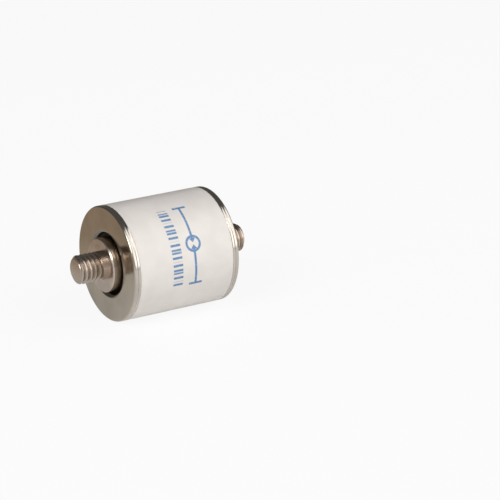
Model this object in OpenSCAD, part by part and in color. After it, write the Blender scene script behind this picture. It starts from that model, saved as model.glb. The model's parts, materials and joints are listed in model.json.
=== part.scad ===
// Gas discharge tube: a ceramic cylinder, closed at both ends by a drawn metal
// flange that carries a terminal stud outside and an electrode inside.
// The tube lies along X with its centre at the origin. Front is the -X end.

/* [Ceramic tube] */
// Outside diameter of the ceramic, seal rings and flanges
body_d = 24; // [22:0.5:36]
// Length of the ceramic
ceramic_len = 21.6; // [18:0.1:40]
// Wall thickness of the ceramic
ceramic_wall = 3.4; // [1.6:0.1:4.4]
// Chamfer on the outer edges of the ceramic
ceramic_chamfer = 0.12; // [0.05:0.01:0.5]

/* [Seal rings] */
// Thickness of a seal ring along the tube
seal_t = 0.55; // [0.3:0.05:1.5]
// Radial width of a seal ring
seal_w = 3; // [1.5:0.1:4.4]
// Rounding of the outer edges of a seal ring
seal_round = 0.12; // [0.05:0.01:0.14]

/* [Flanges] */
// Thickness of the sheet that a flange is drawn from
sheet_t = 0.85; // [0.6:0.05:1.2]
// Radius on the hidden side of the bends in the sheet
bend_r = 0.15; // [0.1:0.05:0.6]
// Depth of the cup round the boss, from the flange face to the cup floor
cup_depth = 3; // [2:0.1:5]
// Rounding of the flange's front edge
rim_round = 0.4; // [0.05:0.05:0.65]
// Rounding of the flange's rear edge, against the seal ring
rim_back_round = 0.12; // [0.05:0.01:0.15]

/* [Terminal studs] */
// Outside diameter of the stud
stud_d = 6; // [4:0.5:8]
// Length of the stud in front of the boss
stud_len = 5.85; // [4:0.05:20]
// Chamfer at the tip of the stud
tip_chamfer = 0.5; // [0.1:0.05:1]
// Diameter of the boss that the stud stands on
boss_d = 11.3; // [9:0.1:13.4]
// Height of the boss above the flange face
boss_h = 1.4; // [0.5:0.05:4]
// Chamfer on the front edge of the boss
boss_chamfer = 0.25; // [0.05:0.05:0.6]
// Open gap between the boss and the wall of the cup
recess_gap = 0.65; // [0.3:0.05:1.4]
// Diameter of the spigot that passes through the cup floor
spigot_d = 7; // [5:0.1:8.4]
// Length of the spigot beyond the cup floor
spigot_len = 4; // [2:0.1:6]

/* [Electrodes] */
// Diameter of an electrode
electrode_d = 12.4; // [11:0.1:15]
// Arc gap between the two electrodes
arc_gap = 1; // [0.4:0.1:3]
// Rounding of the edge that faces the arc gap
electrode_round = 1; // [0.2:0.1:1.8]
// Diameter of the coated dish in the electrode face
coating_d = 8; // [4:0.1:8.6]
// Depth of the coated dish
coating_t = 0.4; // [0.2:0.05:0.8]

/* [Ignition strips] */
// Number of strips round the inside of the ceramic
strip_count = 4; // [2:1:8]
// Width of a strip
strip_w = 0.8; // [0.3:0.1:2]
// Length of a strip along the tube
strip_len = 12; // [4:0.5:17]
// Thickness of a strip
strip_t = 0.05; // [0.03:0.01:0.2]

/* [Fits] */
// Clearance that the braze fills round the spigot and the coating
braze_gap = 0.05; // [0.02:0.01:0.2]

/* [Hidden] */

// Rounds are true at this many segments
$fn = 96;
// Overlap of a cutting shape past the face that it cuts
over = 0.01;

// Radii
body_r = body_d / 2;
bore_r = body_r - ceramic_wall;
seal_r = body_r - seal_w;
boss_r = boss_d / 2;
cup_r = boss_r + recess_gap;
spigot_r = spigot_d / 2;
stud_r = stud_d / 2;
electrode_r = electrode_d / 2;
coating_r = coating_d / 2;
// Visible radius of a bend, over the sheet's full thickness
lip_r = bend_r + sheet_t;

// Distances from the centre of the tube along its axis
ceramic_end = ceramic_len / 2;
seal_end = ceramic_end + seal_t;
face = seal_end + sheet_t;
cup_floor = face - cup_depth;
cup_back = cup_floor - sheet_t;
boss_front = face + boss_h;
stud_tip = boss_front + stud_len;
spigot_end = cup_back - spigot_len;
electrode_face = arc_gap / 2;

nickel = [0.70, 0.67, 0.61];
ceramic = [0.90, 0.87, 0.85];
copper = [0.72, 0.45, 0.32];
emitter = [0.80, 0.79, 0.74];
graphite = [0.16, 0.16, 0.17];

// Turn a piece that is drawn along Z to the rear end of the tube
module at_rear() {
    rotate([0, 90, 0]) children();
}

// Turn a piece that is drawn along Z to the front end of the tube
module at_front() {
    mirror([1, 0, 0]) at_rear() children();
}

// Half section from the inner radius r0 to r1 and from z0 to z1
module band(r0, r1, z0, z1) {
    translate([r0, z0]) square([r1 - r0, z1 - z0]);
}

// Material outside a rounded outer corner at radius r and height z, where up is 1 for a top corner
module corner_waste(r, z, radius, up) {
    translate([r - radius, z - up * radius]) difference() {
        translate([0, up > 0 ? 0 : -radius - over]) square(radius + over);
        circle(radius);
    }
}

// Material outside a chamfered outer corner at radius r and height z
module chamfer_waste(r, z, size, up) {
    polygon([[r + over, z - up * (size + over)], [r + over, z + up * over], [r - size - over, z + up * over]]);
}

// Quarter of a bent sheet about the point r, z, in the quadrant that side and up point to
module bend(r, z, side, up) {
    translate([r, z]) intersection() {
        difference() {
            circle(lip_r);
            circle(bend_r);
        }
        translate([side > 0 ? 0 : -lip_r, up > 0 ? 0 : -lip_r]) square(lip_r);
    }
}

// Ceramic body, open from end to end
module ceramic_tube() {
    color(ceramic) at_rear() rotate_extrude() difference() {
        band(bore_r, body_r, -ceramic_end, ceramic_end);
        chamfer_waste(body_r, ceramic_end, ceramic_chamfer, 1);
        chamfer_waste(body_r, -ceramic_end, ceramic_chamfer, -1);
    }
}

// Graphite lines along the inside of the ceramic, which start the discharge
module ignition_strips() {
    color(graphite) at_rear() intersection() {
        rotate_extrude() band(bore_r - strip_t, bore_r, -strip_len / 2, strip_len / 2);
        for (i = [0 : strip_count - 1])
            rotate(i * 360 / strip_count)
                translate([0, -strip_w / 2, -strip_len / 2]) cube([body_r, strip_w, strip_len]);
    }
}

// Flat ring that joins a flange to the end of the ceramic
module seal_ring() {
    color(nickel) rotate_extrude() difference() {
        band(seal_r, body_r, ceramic_end, seal_end);
        corner_waste(body_r, seal_end, seal_round, 1);
        corner_waste(body_r, ceramic_end, seal_round, -1);
    }
}

// Drawn sheet: a flat rim, a rolled lip, and a cup whose floor the spigot passes through
module flange() {
    color(nickel) rotate_extrude() {
        difference() {
            band(cup_r + lip_r, body_r, seal_end, face);
            corner_waste(body_r, face, rim_round, 1);
            corner_waste(body_r, seal_end, rim_back_round, -1);
        }
        bend(cup_r + lip_r, face - lip_r, -1, 1);
        band(cup_r, cup_r + sheet_t, cup_floor + bend_r, face - lip_r);
        bend(cup_r - bend_r, cup_floor + bend_r, 1, -1);
        band(spigot_r + braze_gap, cup_r - bend_r, cup_back, cup_floor);
    }
}

// Turned terminal: stud, boss and spigot in one piece
module terminal_stud() {
    color(nickel) rotate_extrude() difference() {
        union() {
            band(0, spigot_r, spigot_end, cup_floor + over);
            band(0, boss_r - bend_r, cup_floor, cup_floor + bend_r + over);
            band(0, boss_r, cup_floor + bend_r, boss_front);
            band(0, stud_r, boss_front - over, stud_tip);
        }
        chamfer_waste(boss_r, boss_front, boss_chamfer, 1);
        chamfer_waste(stud_r, stud_tip, tip_chamfer, 1);
    }
}

// Electrode: a copper head on the spigot, with a dish in the face that the arc strikes
module electrode() {
    color(copper) rotate_extrude() difference() {
        band(0, electrode_r, electrode_face, cup_back);
        corner_waste(electrode_r, electrode_face, electrode_round, -1);
        band(0, spigot_r + braze_gap, spigot_end, cup_back + over);
        band(0, coating_r + braze_gap, electrode_face - over, electrode_face + coating_t);
    }
}

// Emission coating that fills the dish
module emission_coating() {
    color(emitter) rotate_extrude() band(0, coating_r, electrode_face, electrode_face + coating_t);
}

module front_seal_ring() at_front() seal_ring();
module front_flange() at_front() flange();
module front_terminal_stud() at_front() terminal_stud();
module front_electrode() at_front() electrode();
module front_emission_coating() at_front() emission_coating();

module rear_seal_ring() at_rear() seal_ring();
module rear_flange() at_rear() flange();
module rear_terminal_stud() at_rear() terminal_stud();
module rear_electrode() at_rear() electrode();
module rear_emission_coating() at_rear() emission_coating();

ceramic_tube();
ignition_strips();
front_seal_ring();
front_flange();
front_terminal_stud();
front_electrode();
front_emission_coating();
rear_seal_ring();
rear_flange();
rear_terminal_stud();
rear_electrode();
rear_emission_coating();
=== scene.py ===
"""Gas discharge tube: its ceramic body, drawn flanges, seal rings and threaded studs, dressed for the eye."""

import json
import math

import bpy
from bpy.props import FloatProperty, FloatVectorProperty, IntProperty, PointerProperty
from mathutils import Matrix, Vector


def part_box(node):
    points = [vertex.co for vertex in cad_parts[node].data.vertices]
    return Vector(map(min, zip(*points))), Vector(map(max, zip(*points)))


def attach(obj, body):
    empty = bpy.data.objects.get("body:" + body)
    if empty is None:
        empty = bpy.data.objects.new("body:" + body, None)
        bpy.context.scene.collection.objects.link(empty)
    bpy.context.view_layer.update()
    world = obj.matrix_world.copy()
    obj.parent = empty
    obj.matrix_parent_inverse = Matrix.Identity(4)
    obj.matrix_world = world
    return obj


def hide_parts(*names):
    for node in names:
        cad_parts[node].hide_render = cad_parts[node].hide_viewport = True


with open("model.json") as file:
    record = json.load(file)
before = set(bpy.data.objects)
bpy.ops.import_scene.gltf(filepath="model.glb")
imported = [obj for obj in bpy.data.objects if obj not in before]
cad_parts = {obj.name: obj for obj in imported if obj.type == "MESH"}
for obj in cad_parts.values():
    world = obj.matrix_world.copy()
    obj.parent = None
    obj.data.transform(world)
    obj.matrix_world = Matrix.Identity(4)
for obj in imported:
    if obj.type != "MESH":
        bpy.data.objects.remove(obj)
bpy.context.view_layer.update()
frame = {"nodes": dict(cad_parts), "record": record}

bl_info = {
    "name": "Gas Discharge Tube",
    "version": (1, 0, 0),
    "blender": (4, 5, 0),
    "location": "View3D > Sidebar > Tube",
    "description": "Builds the visible pieces of a stud-mounted gas discharge tube and lights them",
    "category": "Object",
}

MM = 0.001
BODY = "root"

# Sizes that the frame gives, along the axis from the centre of the tube and out from the axis
MOUNTS = {mount["name"]: mount for mount in frame["record"]["mounts"]}
BODY_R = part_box("ceramic_tube")[1].z
CERAMIC_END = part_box("ceramic_tube")[1].x
SEAL_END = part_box("rear_seal_ring")[1].x
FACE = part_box("rear_flange")[1].x
CUP_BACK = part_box("rear_flange")[0].x
SHEET_T = FACE - SEAL_END
CUP_FLOOR = CUP_BACK + SHEET_T
BOSS_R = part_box("rear_terminal_stud")[1].z
SPIGOT_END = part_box("rear_terminal_stud")[0].x
STUD_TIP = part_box("rear_terminal_stud")[1].x
BOSS_FRONT = MOUNTS["rear_seat"]["pos_m"][0]
STUD_R = MOUNTS["rear_stud"]["dims"]["r_mm"] * MM


def length(name, description, millimetres):
    """A size property in metres, written in millimetres."""
    return FloatProperty(name=name, description=description, default=millimetres * MM, unit="LENGTH",
                         precision=5)


def share(name, description, default):
    """A property from 0 to 1."""
    return FloatProperty(name=name, description=description, default=default, min=0, max=1, subtype="FACTOR")


def colour(name, description, default):
    """A linear colour property."""
    return FloatVectorProperty(name=name, description=description, default=default, size=3, min=0, max=1,
                               subtype="COLOR")


def angle(name, description, degrees):
    """An angle property in radians, written in degrees."""
    return FloatProperty(name=name, description=description, default=math.radians(degrees), unit="ROTATION")


def power(name, description, watts):
    """The power of a lamp."""
    return FloatProperty(name=name, description=description, default=watts, unit="POWER")


class TubeSizes(bpy.types.PropertyGroup):
    """Small sizes of the tube's pieces that the frame does not give."""

    ceramic_wall: length("Ceramic wall", "Wall thickness of the ceramic", 3.4)
    ceramic_chamfer: length("Ceramic chamfer", "Chamfer on the outer edges of the ceramic", 0.12)
    seal_width: length("Seal width", "Radial width of a seal ring", 3.0)
    seal_round: length("Seal rounding", "Rounding of the outer edges of a seal ring", 0.12)
    rim_round: length("Rim rounding", "Rounding of the front edge of a flange", 0.4)
    rim_back_round: length("Rim back rounding", "Rounding of the rear edge of a flange", 0.12)
    bend_radius: length("Bend radius", "Radius on the hidden side of the bends in the sheet", 0.15)
    recess_gap: length("Recess gap", "Gap between the boss and the wall of the cup", 0.65)
    boss_chamfer: length("Boss chamfer", "Chamfer on the front edge of the boss", 0.25)
    spigot_radius: length("Spigot radius", "Radius of the spigot behind the boss", 3.5)
    braze_gap: length("Braze gap", "Gap that the braze fills round the spigot", 0.05)
    tip_round: length("Tip rounding", "Rounding of the edge at the tip of a stud", 0.7)
    tip_dome: length("Tip dome", "Rise of the domed tip of a stud", 0.2)
    shank: length("Plain shank", "Length of the stud that has no thread, next to the boss", 0.35)
    pitch: length("Pitch", "Pitch of the thread", 1.0)
    thread_depth: length("Thread depth", "Depth of the thread", 0.58)
    segments: IntProperty(name="Segments", description="Segments round a turned piece", default=192,
                          min=24, max=360)


class TubeFinish(bpy.types.PropertyGroup):
    """Colours and roughness of the tube's pieces."""

    ceramic: colour("Ceramic", "Colour of the ceramic", (0.80, 0.755, 0.715))
    nickel: colour("Nickel", "Colour of the plated flanges", (0.50, 0.445, 0.365))
    # The edge colour is painted sheen: the rim is made lighter than the rest of the sheet to brighten its
    # highlight.
    edge: colour("Edge", "Colour of the polished edge of a flange", (0.57, 0.525, 0.465))
    stud: colour("Stud", "Colour of the plated studs", (0.60, 0.515, 0.445))
    seal: colour("Seal", "Colour of the seal rings", (0.60, 0.555, 0.50))
    ink: colour("Ink", "Colour of the marks on the ceramic", (0.04, 0.19, 0.42))
    copper: colour("Copper", "Colour of the electrodes", (0.70, 0.36, 0.22))
    emitter: colour("Emitter", "Colour of the emission coating", (0.62, 0.60, 0.54))
    graphite: colour("Graphite", "Colour of the ignition strips", (0.02, 0.02, 0.022))
    ceramic_rough: share("Ceramic roughness", "Roughness of the ceramic", 0.42)
    nickel_rough: share("Nickel roughness", "Roughness of the plated flanges", 0.17)
    stud_rough: share("Stud roughness", "Least roughness of the plated studs", 0.16)
    seal_rough: share("Seal roughness", "Roughness of the seal rings", 0.14)
    copper_rough: share("Copper roughness", "Roughness of the electrodes", 0.35)
    emitter_rough: share("Emitter roughness", "Roughness of the emission coating", 0.8)
    graphite_rough: share("Graphite roughness", "Roughness of the ignition strips", 0.7)


class TubeStage(bpy.types.PropertyGroup):
    """The view and the light."""

    azimuth: angle("Azimuth", "Turn of the view round the tube", -31.9)
    elevation: angle("Elevation", "Height of the view above the horizon", 19.85)
    frame_px: IntProperty(name="Frame", description="Width and height of the picture in pixels", default=500)
    focal_px: FloatProperty(name="Focal length", description="Focal length in pixels", default=2387.0)
    body_px: FloatProperty(name="Body", description="Diameter of the body in pixels", default=116.63)
    centre_px: FloatVectorProperty(name="Centre", description="Pixel that the tube's centre falls on", size=2,
                                   default=(158.55, 253.3))
    floor: colour("Floor", "Colour of the floor", (0.88, 0.88, 0.88))
    horizon: FloatProperty(name="Horizon", description="Strength of the light in front, low down",
                           default=0.5)
    rear: FloatProperty(name="Rear", description="Strength of the light from behind, low down", default=0.1)
    zenith: FloatProperty(name="Zenith", description="Strength of the light from overhead", default=0.1)
    key: power("Key lamp", "Power of the large soft lamp", 4.8)
    fill: power("Fill lamp", "Power of the soft lamp at the left", 2.6)


def solid(values):
    """A colour as the four numbers of a socket."""
    return (*values, 1)


def mixed(values, factor):
    """A colour made lighter or darker by one factor."""
    return tuple(min(1.0, value * factor) for value in values)


class Wire:
    """One output in a material's nodes. Arithmetic on it adds Math nodes."""

    def __init__(self, tree, socket=None):
        self.tree = tree
        self.socket = socket

    def node(self, kind, settings=None, inputs=None, output=0):
        """Add a node of any kind: its settings first, then the values or wires of its sockets."""
        made = self.tree.nodes.new(kind)
        for key, value in (settings or {}).items():
            setattr(made, key, value)
        for key, value in (inputs or {}).items():
            if isinstance(value, Wire):
                self.tree.links.new(value.socket, made.inputs[key])
            else:
                made.inputs[key].default_value = value
        return Wire(self.tree, made.outputs[output])

    def math(self, operation, *values):
        """A Math node whose first value is this wire."""
        return self.node("ShaderNodeMath", {"operation": operation}, dict(enumerate((self,) + values)))

    def __add__(self, other):
        return self.math("ADD", other)

    def __sub__(self, other):
        return self.math("SUBTRACT", other)

    def __rsub__(self, other):
        return self.node("ShaderNodeMath", {"operation": "SUBTRACT"}, {0: other, 1: self})

    def __mul__(self, other):
        return self.math("MULTIPLY", other)

    def __neg__(self):
        return self * -1.0

    def __abs__(self):
        return self.math("ABSOLUTE")

    __radd__ = __add__

    def smaller(self, other):
        """The smaller of two values."""
        return self.math("MINIMUM", other)

    def larger(self, other):
        """The larger of two values."""
        return self.math("MAXIMUM", other)

    def fade(self, low, high):
        """0 at low and 1 at high, with a soft step between."""
        return self.node("ShaderNodeMapRange", {"interpolation_type": "SMOOTHSTEP"},
                         {"Value": self, "From Min": low, "From Max": high})

    def tint(self, first, second):
        """The colour first where this is 0, and second where it is 1."""
        ends = [end if isinstance(end, Wire) else solid(end) for end in (first, second)]
        return self.node("ShaderNodeMix", {"data_type": "RGBA"}, {0: self, 6: ends[0], 7: ends[1]}, 2)

    def place(self):
        """Object coordinates, in metres."""
        return self.node("ShaderNodeTexCoord", output="Object")

    def axes(self, place):
        """The three numbers of a place."""
        return [self.node("ShaderNodeSeparateXYZ", inputs={0: place}, output=axis) for axis in "XYZ"]

    def off_axis(self, place):
        """The distance of a place from the X axis."""
        y, z = self.axes(place)[1:]
        return (y * y + z * z).math("SQRT")

    def noise(self, place, size, detail):
        """Cloudy noise with features of about that size in metres, from 0 to 1."""
        return self.node("ShaderNodeTexNoise", inputs={"Vector": place, "Scale": 1 / size, "Detail": detail})

    def stretched(self, place, scale):
        """A place with each axis multiplied by its own number."""
        return self.node("ShaderNodeMapping", inputs={"Vector": place, "Scale": scale})

    def bump(self, height, depth, strength, under=None):
        """A normal from a height that goes from 0 to 1 over that depth in metres."""
        inputs = {"Height": height, "Distance": depth, "Strength": strength}
        if under:
            inputs["Normal"] = under
        return self.node("ShaderNodeBump", inputs=inputs)

    def surface(self, **inputs):
        """The finished surface. Names of sockets are written with underscores."""
        shader = self.node("ShaderNodeBsdfPrincipled",
                           inputs={key.replace("_", " "): value for key, value in inputs.items()})
        shader.show("ShaderNodeOutputMaterial")

    def show(self, kind):
        """Join this shader to an output node of that kind."""
        out = self.tree.nodes.new(kind)
        self.tree.links.new(self.socket, out.inputs["Surface"])


def new_finish(name):
    """An empty material, and a wire to build its nodes with."""
    finish = bpy.data.materials.new(name)
    finish.use_nodes = True
    finish.node_tree.nodes.clear()
    return finish, Wire(finish.node_tree)


# Noise in the finishes: how much fine detail it has, its middle value, and the band that shows as clouds
FINE = 2.0
CLOUDY = 3.0
MOTTLED = 4.0
MIDDLE = 0.5
CLOUD_BAND = (0.3, 0.7)

# The marks on the ceramic: places along the axis and round the tube, in metres
SIGN_ROW = 1.9 * MM
CODE_ROW = -2.2 * MM
MARK_UP = 5.3 * MM
MARK_HALF = 8.4 * MM
SIGN_R = 1.5 * MM
SIGN_GAP = 0.2 * MM
ARROW_SLOPE = 0.8
ARROW_END = SIGN_R * 0.75
LEAD_START = SIGN_R * 0.7
CODE_HALF = 1.1 * MM
CODE_WAVES = (0.83 * MM, 1.37 * MM)
CODE_LEVEL = 0.15
STROKE_HALF = 0.25 * MM
PRINT_SOFT = 0.06 * MM
PRINT_SIDE = BODY_R * 0.1


def print_mask(wire, place):
    """Where the blue marks are: the sign of a spark gap in one row round the tube, a bar code in the next."""
    x, y, z = wire.axes(place)
    front = -y
    around = z.math("ARCTAN2", front) * BODY_R - MARK_UP
    along = x - SIGN_ROW

    def inside(distance):
        """1 where a distance to an edge is below 0."""
        return 1.0 - distance.fade(-PRINT_SOFT, PRINT_SOFT)

    ring = abs((around * around + along * along).math("SQRT") - SIGN_R) - STROKE_HALF
    arrow = (abs(along) - (abs(around) - SIGN_GAP) * ARROW_SLOPE).larger(abs(around) - ARROW_END)
    lead = (abs(along) - STROKE_HALF).larger(LEAD_START - abs(around)).larger(abs(around) - MARK_HALF)
    stop = (abs(along) - SIGN_R).larger(abs(abs(around) - MARK_HALF) - STROKE_HALF)
    sign = ring.smaller(arrow).smaller(lead).smaller(stop)
    first, second = ((around * (math.tau / wave)).math("SINE") for wave in CODE_WAVES)
    bars = (CODE_LEVEL - first - second) * (CODE_WAVES[0] / math.tau)
    code = bars.larger(abs(x - CODE_ROW) - CODE_HALF).larger(abs(around) - MARK_HALF)
    return inside(sign.smaller(code)) * front.fade(0.0, PRINT_SIDE)


# The ceramic's mottling, specks, smears, worn ink and grain: sizes, shades, and parts in the roughness
MOTTLE_SIZE = 4 * MM
MOTTLE_SHADES = (0.97, 1.03)
MOTTLE_DEPTH = 0.02 * MM
MOTTLE_STRENGTH = 0.5
SPECK_SIZE = 0.35 * MM
SPECK_BAND = (0.68, 0.8)
SPECK_SHADE = 0.86
SMEAR_SIZE = 2.2 * MM
SMEAR_STRETCH = (0.25, 1, 1)
SMEAR_ROUGH = 0.22
INK_WEAR_SIZE = 0.25 * MM
INK_WEAR_BAND = (0.2, 0.42)
INK_COVER = 0.92
INK_SHINE = 0.08
CERAMIC_GRAIN_SIZE = 0.12 * MM
CERAMIC_GRAIN_DEPTH = 0.004 * MM
CERAMIC_GRAIN_STRENGTH = 0.6


def ceramic_finish(finish):
    """Fired white ceramic with a satin skin, faint mottling and printed marks."""
    made, wire = new_finish("satin_ceramic")
    place = wire.place()
    mottle = wire.noise(place, MOTTLE_SIZE, MOTTLED)
    speck = wire.noise(place, SPECK_SIZE, FINE)
    smear = wire.noise(wire.stretched(place, SMEAR_STRETCH), SMEAR_SIZE, CLOUDY)
    wear = wire.noise(place, INK_WEAR_SIZE, FINE)
    base = finish.ceramic
    body = mottle.fade(*CLOUD_BAND).tint(*(mixed(base, shade) for shade in MOTTLE_SHADES))
    body = speck.fade(*SPECK_BAND).tint(body, mixed(base, SPECK_SHADE))
    ink = print_mask(wire, place) * wear.fade(*INK_WEAR_BAND)
    painted = (ink * INK_COVER).tint(body, finish.ink)
    rough = finish.ceramic_rough + (smear - MIDDLE) * SMEAR_ROUGH - ink * INK_SHINE
    grain = wire.noise(place, CERAMIC_GRAIN_SIZE, FINE)
    skin = wire.bump(grain, CERAMIC_GRAIN_DEPTH, CERAMIC_GRAIN_STRENGTH)
    skin = wire.bump(mottle, MOTTLE_DEPTH, MOTTLE_STRENGTH, skin)
    wire.surface(Base_Color=painted, Roughness=rough, Normal=skin)
    return made


# The plate's clouds, warm patches, pits, painted sheen on the rim, painted shade in the cup, and peel: sizes,
# shades, and parts in the roughness
PLATE_CLOUD_SIZE = 5 * MM
PLATE_SHADES = (0.9, 1.06)
PLATE_CLOUD_ROUGH = 0.10
WARM_SIZE = 2.6 * MM
WARM_BAND = (0.45, 0.75)
WARM_COVER = 0.35
WARM_SHADES = (1.05, 0.95, 0.93)
PIT_SIZE = 0.22 * MM
PIT_BAND = (0.66, 0.76)
PIT_COVER = 0.3
PIT_SHADE = 0.6
PIT_ROUGH = 0.12
PIT_ROUGH_BAND = (0.6, 0.8)
RIM_PAINTED_SHEEN_BAND = (BODY_R - 0.3 * MM, BODY_R - 0.1 * MM)
RECESS_PAINTED_SHADE_FADE = 0.45 * MM
RECESS_PAINTED_SHADE_COVER = 0.55
RECESS_PAINTED_SHADE_TONE = 0.25
PEEL_DEPTH = 0.004 * MM
PEEL_STRENGTH = 0.5
SEAL_PEEL_SIZE = 0.3 * MM
SHEET_PEEL_SIZE = 0.5 * MM


def nickel_finish(name, base, edge, lip, roughness, peel_size):
    """Nickel plate: a warm grey mirror with faint clouds and pits, a lighter rim as painted sheen, and
    painted shade in the cup.
    """
    made, wire = new_finish(name)
    place = wire.place()
    cloud = wire.noise(place, PLATE_CLOUD_SIZE, CLOUDY)
    warm = wire.noise(place, WARM_SIZE, FINE)
    pits = wire.noise(place, PIT_SIZE, FINE)
    out = wire.off_axis(place)
    warm_base = tuple(value * shade for value, shade in zip(base, WARM_SHADES))
    plate = cloud.fade(*CLOUD_BAND).tint(*(mixed(base, shade) for shade in PLATE_SHADES))
    plate = (warm.fade(*WARM_BAND) * WARM_COVER).tint(plate, warm_base)
    plate = (pits.fade(*PIT_BAND) * PIT_COVER).tint(plate, mixed(base, PIT_SHADE))
    # Painted sheen: the rim gets a lighter colour than the rest of the sheet.
    plate = out.fade(*RIM_PAINTED_SHEEN_BAND).tint(plate, edge)
    # Painted shade: the cup inside the lip is darkened.
    plate = (RECESS_PAINTED_SHADE_COVER - out.fade(lip - RECESS_PAINTED_SHADE_FADE, lip) * RECESS_PAINTED_SHADE_COVER).tint(plate, mixed(base, RECESS_PAINTED_SHADE_TONE))
    rough = roughness + (cloud - MIDDLE) * PLATE_CLOUD_ROUGH + pits.fade(*PIT_ROUGH_BAND) * PIT_ROUGH
    peel = wire.bump(wire.noise(place, peel_size, FINE), PEEL_DEPTH, PEEL_STRENGTH)
    wire.surface(Base_Color=plate, Metallic=1.0, Roughness=rough, Normal=peel)
    return made


# The stud's clouds, thread roots that are duller and darkened with painted shade, and tool marks: sizes,
# places, shades, and parts in the roughness
STUD_CLOUD_SIZE = 3 * MM
STUD_SHADES = (0.9, 1.08)
STUD_CLOUD_ROUGH = 0.14
ROOT_START = (BOSS_FRONT, BOSS_FRONT + 0.1 * MM)
ROOT_STOP = (STUD_TIP - 0.3 * MM, STUD_TIP - 0.1 * MM)
ROOT_TOP = STUD_R - 0.25 * MM
THREAD_PAINTED_SHADE_COVER = 0.45
THREAD_PAINTED_SHADE_TONE = 0.42
ROOT_ROUGH = 0.15
TOOL_SIZE = 0.09 * MM
TOOL_STRETCH = (1, 0.04, 0.04)
TOOL_DEPTH = 0.006 * MM
TOOL_STRENGTH = 0.35


def stud_finish(finish, sizes):
    """Nickel plate over turned steel, with fine tool marks, and thread roots that are duller and darkened
    with painted shade.
    """
    made, wire = new_finish("plated_stud")
    place = wire.place()
    along = abs(wire.axes(place)[0])
    cloud = wire.noise(place, STUD_CLOUD_SIZE, CLOUDY)
    tool = wire.noise(wire.stretched(place, TOOL_STRETCH), TOOL_SIZE, FINE)
    base = finish.stud
    root = 1.0 - wire.off_axis(place).fade(STUD_R - sizes.thread_depth, ROOT_TOP)
    root = root * along.fade(*ROOT_START) * (1.0 - along.fade(*ROOT_STOP))
    plate = cloud.fade(*CLOUD_BAND).tint(*(mixed(base, shade) for shade in STUD_SHADES))
    # Painted shade: the thread roots are darkened, besides being rougher.
    plate = (root * THREAD_PAINTED_SHADE_COVER).tint(plate, mixed(base, THREAD_PAINTED_SHADE_TONE))
    rough = finish.stud_rough + cloud * STUD_CLOUD_ROUGH + root * ROOT_ROUGH
    marks = wire.bump(tool, TOOL_DEPTH, TOOL_STRENGTH)
    wire.surface(Base_Color=plate, Metallic=1.0, Roughness=rough, Normal=marks)
    return made


# The inner pieces' clouds and grain: sizes, shades and the clouds' part in the roughness
INNER_CLOUD_SIZE = 2 * MM
INNER_SHADES = (0.85, 1.12)
INNER_CLOUD_ROUGH = 0.1
INNER_GRAIN_SIZE = 0.15 * MM
INNER_GRAIN_DEPTH = 0.01 * MM
INNER_GRAIN_STRENGTH = 0.5


def matt_finish(name, base, metal, roughness):
    """A dull inner surface with a fine grain."""
    made, wire = new_finish(name)
    place = wire.place()
    cloud = wire.noise(place, INNER_CLOUD_SIZE, CLOUDY)
    body = cloud.tint(*(mixed(base, shade) for shade in INNER_SHADES))
    rough = roughness + (cloud - MIDDLE) * INNER_CLOUD_ROUGH
    grain = wire.bump(wire.noise(place, INNER_GRAIN_SIZE, FINE), INNER_GRAIN_DEPTH, INNER_GRAIN_STRENGTH)
    wire.surface(Base_Color=body, Metallic=metal, Roughness=rough, Normal=grain)
    return made


# The floor: its size, the gap under the tube, and how white or dim it is to each kind of ray
FLOOR_SIZE = 6.0
FLOOR_GAP = 0.02 * MM
FLOOR_SLANT = 0.5
AHEAD_BAND = (12 * MM, 45 * MM)
BEHIND_BAND = (15 * MM, 68 * MM)
SEEN_WHITE = 0.9
MIRRORED_WHITE = 0.2
AHEAD_WHITE = 0.5
BEHIND_DUSK = 0.85
WHITE = (1, 1, 1)
DUSK = (0.35, 0.265, 0.185)


def floor_finish(stage):
    """Pale floor: white with the tube's shadow to the eye; in reflections a painted reflection, glowing
    brighter ahead of the tube and a dim brown behind it.
    """
    made, wire = new_finish("pale_floor")
    seen, mirrored, through = (wire.node("ShaderNodeLightPath", output=name)
                               for name in ("Is Camera Ray", "Is Glossy Ray", "Is Transmission Ray"))
    x, y = wire.axes(wire.place())[:2]
    reach = x * FLOOR_SLANT - y
    ahead = reach.fade(*AHEAD_BAND)
    behind = (-reach).fade(*BEHIND_BAND)
    matt = wire.node("ShaderNodeBsdfDiffuse", inputs={"Color": solid(stage.floor)})
    white, dusk = (wire.node("ShaderNodeEmission", inputs={"Color": solid(glow), "Strength": 1.0})
                   for glow in (WHITE, DUSK))
    # To the eye the floor is white; in reflections it is painted reflection, glowing white and more so ahead
    # of the tube.
    whiteness = seen.larger(through) * SEEN_WHITE + mirrored * (ahead * AHEAD_WHITE + MIRRORED_WHITE)
    pale = wire.node("ShaderNodeMixShader", inputs={0: whiteness, 1: matt, 2: white})
    # Painted reflection: behind the tube the floor glows a dim brown in reflections.
    dimness = behind * mirrored * BEHIND_DUSK
    wire.node("ShaderNodeMixShader", inputs={0: dimness, 1: pale, 2: dusk}).show("ShaderNodeOutputMaterial")
    return made


# Directions in a half section, in degrees from +X towards +R
REARWARD = 0
OUTWARD = 90
FRONTWARD = 180
INWARD = -90

# Steps of the arcs in the half sections
SMALL_STEPS = 6
RIM_STEPS = 8
LIP_STEPS = 16
CUP_STEPS = 10
TIP_STEPS = 8

# Points closer than this are one point
MERGE_GAP = MM * 0.001


def arc(x, r, radius, start, stop, steps=SMALL_STEPS):
    """Points of an arc in the half section about x, r. Angles are in degrees from +X towards +R."""
    angles = [math.radians(start + (stop - start) * step / steps) for step in range(steps + 1)]
    return [(x + radius * math.cos(turn), r + radius * math.sin(turn)) for turn in angles]


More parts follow.
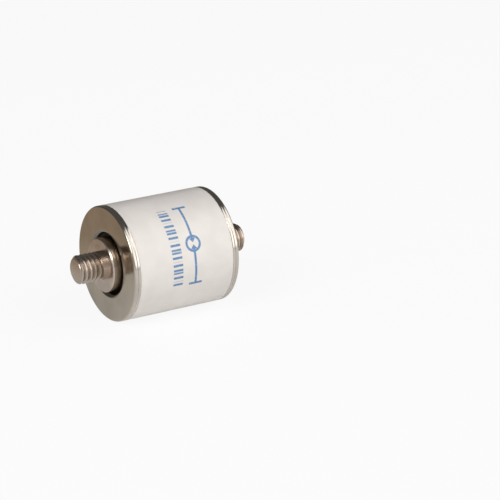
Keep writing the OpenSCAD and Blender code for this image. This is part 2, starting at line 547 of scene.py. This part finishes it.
def leave_alone():
    """Deselect everything, in object mode."""
    if bpy.context.mode != "OBJECT":
        bpy.ops.object.mode_set(mode="OBJECT")
    bpy.ops.object.select_all(action="DESELECT")


def pick(piece):
    """Select one piece alone and make it the active one."""
    leave_alone()
    piece.select_set(True)
    bpy.context.view_layer.objects.active = piece


def named(piece, name):
    """Give a piece and its mesh one name."""
    piece.name = name
    piece.data.name = name
    return piece


def turned(name, section, segments, closed):
    """Turn a half section round the X axis: extrude a ring from point to point, then close its ends."""
    leave_alone()
    x, r = section[0]
    bpy.ops.mesh.primitive_circle_add(vertices=segments, radius=r, location=(x, 0, 0),
                                      rotation=(0, math.pi / 2, 0),
                                      fill_type="NOTHING" if closed else "NGON")
    piece = named(bpy.context.active_object, name)
    bpy.ops.object.transform_apply(location=True, rotation=True, scale=True)
    bpy.ops.object.mode_set(mode="EDIT")
    bpy.ops.mesh.select_all(action="SELECT")
    if not closed:
        bpy.ops.mesh.select_mode(type="EDGE")
    extrude = bpy.ops.mesh.extrude_region_move if closed else bpy.ops.mesh.extrude_edges_move
    for next_x, next_r in section[1:]:
        extrude(TRANSFORM_OT_translate={"value": (next_x - x, 0, 0)})
        bpy.ops.transform.resize(value=(1, next_r / r, next_r / r), center_override=(next_x, 0, 0))
        x, r = next_x, next_r
    if not closed:
        bpy.ops.mesh.edge_face_add()
    bpy.ops.mesh.select_all(action="SELECT")
    bpy.ops.mesh.remove_doubles(threshold=MERGE_GAP)
    bpy.ops.mesh.normals_make_consistent(inside=False)
    bpy.ops.object.mode_set(mode="OBJECT")
    return piece


def smooth(piece, degrees):
    """Smooth shading that keeps the edges sharper than that angle."""
    pick(piece)
    bpy.ops.object.shade_smooth_by_angle(angle=math.radians(degrees))


def copied_to_front(piece, name):
    """A copy of a rear piece, turned half round the vertical to the front end, with its own mesh."""
    pick(piece)
    bpy.ops.object.duplicate(linked=False)
    twin = named(bpy.context.active_object, name)
    bpy.ops.transform.rotate(value=math.pi, orient_axis="Z", center_override=(0, 0, 0))
    bpy.ops.object.transform_apply(location=True, rotation=True, scale=True)
    return twin


def fitted(piece, finish, node):
    """Give a piece its finish and let it stand for its node."""
    piece.data.materials.clear()
    piece.data.materials.append(finish)
    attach(piece, BODY)
    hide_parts(node)


# Angles in degrees above which an edge of a piece stays sharp
CERAMIC_SHARP = 32
RING_SHARP = 50
FLANGE_SHARP = 40
STUD_SHARP = 28


class TUBE_OT_ceramic(bpy.types.Operator):
    """Turn the ceramic body and print its marks"""

    bl_idname = "tube.ceramic"
    bl_label = "Ceramic body"

    def execute(self, context):
        sizes = context.scene.tube_sizes
        finish = context.scene.tube_finish
        edge = sizes.ceramic_chamfer
        bore = BODY_R - sizes.ceramic_wall
        section = [(-CERAMIC_END, bore), (-CERAMIC_END, BODY_R - edge), (-CERAMIC_END + edge, BODY_R),
                   (CERAMIC_END - edge, BODY_R), (CERAMIC_END, BODY_R - edge), (CERAMIC_END, bore),
                   (-CERAMIC_END, bore)]
        body = turned("ceramic_body", section, sizes.segments, closed=True)
        smooth(body, CERAMIC_SHARP)
        fitted(body, ceramic_finish(finish), "ceramic_tube")
        return {"FINISHED"}


class TUBE_OT_seal_rings(bpy.types.Operator):
    """Turn the seal rings between the ceramic and the flanges"""

    bl_idname = "tube.seal_rings"
    bl_label = "Seal rings"

    def execute(self, context):
        sizes = context.scene.tube_sizes
        finish = context.scene.tube_finish
        edge = sizes.seal_round
        inner = BODY_R - sizes.seal_width
        section = [(CERAMIC_END, inner)]
        section += arc(CERAMIC_END + edge, BODY_R - edge, edge, FRONTWARD, OUTWARD)
        section += arc(SEAL_END - edge, BODY_R - edge, edge, OUTWARD, REARWARD)
        section += [(SEAL_END, inner), (CERAMIC_END, inner)]
        rear = turned("rear_ring", section, sizes.segments, closed=True)
        smooth(rear, RING_SHARP)
        front = copied_to_front(rear, "front_ring")
        plate = nickel_finish("bright_seal", finish.seal, finish.seal, BOSS_R, finish.seal_rough,
                              SEAL_PEEL_SIZE)
        fitted(rear, plate, "rear_seal_ring")
        fitted(front, plate, "front_seal_ring")
        return {"FINISHED"}


class TUBE_OT_flanges(bpy.types.Operator):
    """Form the drawn flanges with their rolled lips and cups"""

    bl_idname = "tube.flanges"
    bl_label = "Flanges"

    def execute(self, context):
        sizes = context.scene.tube_sizes
        finish = context.scene.tube_finish
        bend = sizes.bend_radius
        lip = bend + SHEET_T
        cup = BOSS_R + sizes.recess_gap
        hole = sizes.spigot_radius + sizes.braze_gap
        rim, back = sizes.rim_round, sizes.rim_back_round
        section = arc(SEAL_END + back, BODY_R - back, back, FRONTWARD, OUTWARD)
        section += arc(FACE - rim, BODY_R - rim, rim, OUTWARD, REARWARD, RIM_STEPS)
        section += arc(FACE - lip, cup + lip, lip, REARWARD, INWARD, LIP_STEPS)
        section += arc(CUP_FLOOR + bend, cup - bend, bend, OUTWARD, FRONTWARD)
        section += [(CUP_FLOOR, hole), (CUP_BACK, hole)]
        section += arc(CUP_FLOOR + bend, cup - bend, lip, FRONTWARD, OUTWARD, CUP_STEPS)
        section += arc(FACE - lip, cup + lip, bend, INWARD, REARWARD)
        section += section[:1]
        rear = turned("rear_end_plate", section, sizes.segments, closed=True)
        smooth(rear, FLANGE_SHARP)
        front = copied_to_front(rear, "front_end_plate")
        plate = nickel_finish("nickel_sheet", finish.nickel, finish.edge, cup + lip, finish.nickel_rough,
                              SHEET_PEEL_SIZE)
        fitted(rear, plate, "rear_flange")
        fitted(front, plate, "front_flange")
        return {"FINISHED"}


# The dome at a stud's tip leaves this share of its arc to a small flat face in the middle
DOME_FLAT = 0.05

# The thread's cutter: its flanks, its root and stand-out as parts of the pitch, and its helix
FLANK_ANGLE = math.radians(30)
ROOTS_IN_PITCH = 6
STAND_OUT = 0.05
HELIX_STEPS = 128
CUTTER_CORNERS = 4

# The thread's run-out: its length in pitches, the cutter's lift at its start in depths of thread, and how
# many lengths of run-out back from its end the lift stops growing
RUN_OUT = 0.8
LIFT = 1.4
LIFT_LIMIT = 1.3


class TUBE_OT_studs(bpy.types.Operator):
    """Turn the terminal studs and cut their threads"""

    bl_idname = "tube.studs"
    bl_label = "Terminal studs"

    def execute(self, context):
        sizes = context.scene.tube_sizes
        finish = context.scene.tube_finish
        bevel, tip, dome = sizes.boss_chamfer, sizes.tip_round, sizes.tip_dome
        seat = sizes.bend_radius
        section = [(SPIGOT_END, sizes.spigot_radius), (CUP_FLOOR, sizes.spigot_radius),
                   (CUP_FLOOR, BOSS_R - seat), (CUP_FLOOR + seat, BOSS_R - seat), (CUP_FLOOR + seat, BOSS_R),
                   (BOSS_FRONT - bevel, BOSS_R), (BOSS_FRONT, BOSS_R - bevel), (BOSS_FRONT, STUD_R)]
        ball = STUD_R * STUD_R / (2 * dome)
        edge = math.degrees(math.asin((STUD_R - tip) / ball))
        section += arc(STUD_TIP - dome - tip, STUD_R - tip, tip, OUTWARD, edge, TIP_STEPS)
        section += arc(STUD_TIP - ball, 0, ball, edge, DOME_FLAT * edge)
        rear = turned("rear_stud", section, sizes.segments, closed=False)
        self.cut_thread(rear, sizes)
        smooth(rear, STUD_SHARP)
        front = copied_to_front(rear, "front_stud")
        plate = stud_finish(finish, sizes)
        fitted(rear, plate, "rear_terminal_stud")
        fitted(front, plate, "front_terminal_stud")
        return {"FINISHED"}

    def cut_thread(self, stud, sizes):
        """Take a right-hand thread out of a stud."""
        start = BOSS_FRONT + sizes.shank
        cutter = self.cutter_section(sizes, start)
        self.wind_cutter(cutter, sizes, start)
        pick(stud)
        bpy.ops.object.modifier_add(type="BOOLEAN")
        cut = stud.modifiers[-1]
        cut.operation = "DIFFERENCE"
        cut.solver = "EXACT"
        cut.object = cutter
        bpy.ops.object.modifier_apply(modifier=cut.name)
        pick(cutter)
        bpy.ops.object.delete()

    def cutter_section(self, sizes, start):
        """The outline of the thread's groove above the stud's axis, narrower at the root than at the top."""
        pitch, depth = sizes.pitch, sizes.thread_depth
        clear = STAND_OUT * pitch
        root_w = pitch / ROOTS_IN_PITCH
        top_w = root_w + 2 * (depth + clear) * math.tan(FLANK_ANGLE)
        leave_alone()
        bpy.ops.mesh.primitive_plane_add(size=1, location=(start, 0, STUD_R + (clear - depth) / 2),
                                         rotation=(math.pi / 2, 0, 0))
        cutter = bpy.context.active_object
        bpy.ops.transform.resize(value=(top_w, 1, depth + clear))
        bpy.ops.object.transform_apply(location=True, rotation=True, scale=True)
        bpy.ops.object.mode_set(mode="EDIT")
        bpy.ops.mesh.delete(type="ONLY_FACE")
        bpy.ops.mesh.select_mode(type="VERT")
        bpy.ops.mesh.select_all(action="DESELECT")
        bpy.ops.object.mode_set(mode="OBJECT")
        for corner in cutter.data.vertices:
            corner.select = corner.co.z < STUD_R - depth / 2
        bpy.ops.object.mode_set(mode="EDIT")
        bpy.ops.transform.resize(value=(root_w / top_w, 1, 1))
        bpy.ops.object.mode_set(mode="OBJECT")
        return cutter

    def wind_cutter(self, cutter, sizes, start):
        """Wind the outline into a helix that lifts out of the stud towards the shank, and close its ends."""
        pitch, depth = sizes.pitch, sizes.thread_depth
        bpy.ops.object.modifier_add(type="SCREW")
        helix = cutter.modifiers[-1]
        helix.axis = "X"
        helix.screw_offset = pitch
        helix.iterations = math.ceil((STUD_TIP - start) / pitch) + 1
        helix.steps = helix.render_steps = HELIX_STEPS
        bpy.ops.object.modifier_apply(modifier=helix.name)
        run_out = RUN_OUT * pitch
        for point in cutter.data.vertices:
            early = max(0.0, 1 - (point.co.x - start) / run_out)
            out = math.hypot(point.co.y, point.co.z)
            grown = 1 + min(early, LIFT_LIMIT) ** 2 * depth * LIFT / out
            point.co.y *= grown
            point.co.z *= grown
        bpy.ops.object.mode_set(mode="EDIT")
        bpy.ops.mesh.select_all(action="SELECT")
        bpy.ops.mesh.remove_doubles(threshold=MERGE_GAP)
        bpy.ops.mesh.fill_holes(sides=CUTTER_CORNERS)
        bpy.ops.mesh.select_all(action="SELECT")
        bpy.ops.mesh.normals_make_consistent(inside=False)
        bpy.ops.object.mode_set(mode="OBJECT")


class TUBE_OT_inside(bpy.types.Operator):
    """Finish the electrodes, the emission coatings and the ignition strips"""

    bl_idname = "tube.inside"
    bl_label = "Inner pieces"

    def execute(self, context):
        finish = context.scene.tube_finish
        copper = matt_finish("turned_copper", finish.copper, 1.0, finish.copper_rough)
        emitter = matt_finish("emission_coating", finish.emitter, 0.0, finish.emitter_rough)
        graphite = matt_finish("graphite_line", finish.graphite, 0.0, finish.graphite_rough)
        looks = {"ignition_strips": graphite}
        for end in ("front", "rear"):
            looks[end + "_electrode"] = copper
            looks[end + "_emission_coating"] = emitter
        for name, look in looks.items():
            mesh = frame["nodes"][name].data
            mesh.materials.clear()
            mesh.materials.append(look)
        return {"FINISHED"}


# The lamps: places and widths in metres
KEY_PLACE = (0.42, -0.50, 0.47)
KEY_WIDTH = 1.0
FILL_PLACE = (-0.55, -0.25, 0.42)
FILL_WIDTH = 0.35

# The sky: its colour, and how far back and how far up a direction points where it fades
SKY_COLOUR = (1, 0.985, 0.97)
REAR_BAND = (-0.3, 0.5)
ZENITH_BAND = (0.3, 0.65)

# The camera: width of its sensor in millimetres, and the distance in metres from which it sees
SENSOR_WIDTH = 36
CLIP_START = 0.01


class TUBE_OT_stage(bpy.types.Operator):
    """Lay the floor, set the lamps and aim the camera"""

    bl_idname = "tube.stage"
    bl_label = "Stage"

    def execute(self, context):
        stage = context.scene.tube_stage
        self.lay_floor(stage)
        self.light_sky(context.scene, stage)
        self.lamp("key_lamp", KEY_PLACE, KEY_WIDTH, stage.key)
        self.lamp("fill_lamp", FILL_PLACE, FILL_WIDTH, stage.fill)
        self.aim_camera(context.scene, stage)
        context.scene.view_settings.view_transform = "Standard"
        return {"FINISHED"}

    def lay_floor(self, stage):
        """A wide floor just under the tube."""
        leave_alone()
        bpy.ops.mesh.primitive_plane_add(size=FLOOR_SIZE, location=(0, 0, -BODY_R - FLOOR_GAP))
        floor = bpy.context.active_object
        floor.name = "floor"
        bpy.ops.object.transform_apply(location=True, rotation=True, scale=True)
        floor.data.materials.append(floor_finish(stage))

    def light_sky(self, scene, stage):
        """Soft light from low down in front, which fades to a dim ceiling and a dim back."""
        world = bpy.data.worlds.new("studio")
        world.use_nodes = True
        world.node_tree.nodes.clear()
        wire = Wire(world.node_tree)
        y, up = wire.axes(wire.node("ShaderNodeTexCoord", output="Generated"))[1:]
        low = stage.horizon + y.fade(*REAR_BAND) * (stage.rear - stage.horizon)
        strength = low + up.fade(*ZENITH_BAND) * (stage.zenith - low)
        shine = wire.node("ShaderNodeBackground", inputs={"Color": solid(SKY_COLOUR), "Strength": strength})
        shine.show("ShaderNodeOutputWorld")
        scene.world = world

    def lamp(self, name, place, width, watts):
        """A square lamp that faces the tube's centre."""
        leave_alone()
        bpy.ops.object.light_add(type="AREA", location=place)
        lamp = bpy.context.active_object
        lamp.name = name
        lamp.data.shape = "SQUARE"
        lamp.data.size = width
        lamp.data.energy = watts
        lamp.rotation_euler = (-Vector(place)).to_track_quat("-Z", "Y").to_euler()

    def aim_camera(self, scene, stage):
        """Place the camera so that the tube's centre falls on its pixel."""
        turn, rise = stage.azimuth, stage.elevation
        back = Vector((math.sin(turn) * math.cos(rise), -math.cos(turn) * math.cos(rise), math.sin(rise)))
        right = Vector((math.cos(turn), math.sin(turn), 0))
        up = back.cross(right)
        distance = stage.focal_px / stage.body_px * 2 * BODY_R
        middle = stage.frame_px / 2
        aside = (stage.centre_px[0] - middle) * distance / stage.focal_px
        above = (middle - stage.centre_px[1]) * distance / stage.focal_px
        leave_alone()
        bpy.ops.object.camera_add(location=back * distance - right * aside - up * above)
        camera = bpy.context.active_object
        camera.rotation_euler = back.to_track_quat("Z", "Y").to_euler()
        camera.data.sensor_width = SENSOR_WIDTH
        camera.data.lens = stage.focal_px / stage.frame_px * SENSOR_WIDTH
        camera.data.clip_start = CLIP_START
        scene.camera = camera


class TUBE_PT_panel(bpy.types.Panel):
    """The tube's pieces, sizes, finishes and stage"""

    bl_label = "Gas Discharge Tube"
    bl_idname = "TUBE_PT_panel"
    bl_space_type = "VIEW_3D"
    bl_region_type = "UI"
    bl_category = "Tube"

    def draw(self, context):
        for step in STEPS:
            self.layout.operator(step.bl_idname)
        for group in (context.scene.tube_sizes, context.scene.tube_finish, context.scene.tube_stage):
            box = self.layout.box()
            for name in group.__annotations__:
                box.prop(group, name)


STEPS = (TUBE_OT_ceramic, TUBE_OT_seal_rings, TUBE_OT_flanges, TUBE_OT_studs, TUBE_OT_inside, TUBE_OT_stage)
GROUPS = {"tube_sizes": TubeSizes, "tube_finish": TubeFinish, "tube_stage": TubeStage}


def register():
    """Register the groups of values, the operators and the panel."""
    for name, group in GROUPS.items():
        bpy.utils.register_class(group)
        setattr(bpy.types.Scene, name, PointerProperty(type=group))
    for step in STEPS:
        bpy.utils.register_class(step)
    bpy.utils.register_class(TUBE_PT_panel)


def unregister():
    """Take back what register did."""
    bpy.utils.unregister_class(TUBE_PT_panel)
    for step in reversed(STEPS):
        bpy.utils.unregister_class(step)
    for name, group in GROUPS.items():
        delattr(bpy.types.Scene, name)
        bpy.utils.unregister_class(group)


def main():
    """Build and light the tube."""
    register()
    bpy.ops.tube.ceramic()
    bpy.ops.tube.seal_rings()
    bpy.ops.tube.flanges()
    bpy.ops.tube.studs()
    bpy.ops.tube.inside()
    bpy.ops.tube.stage()


if __name__ == "__main__":
    main()
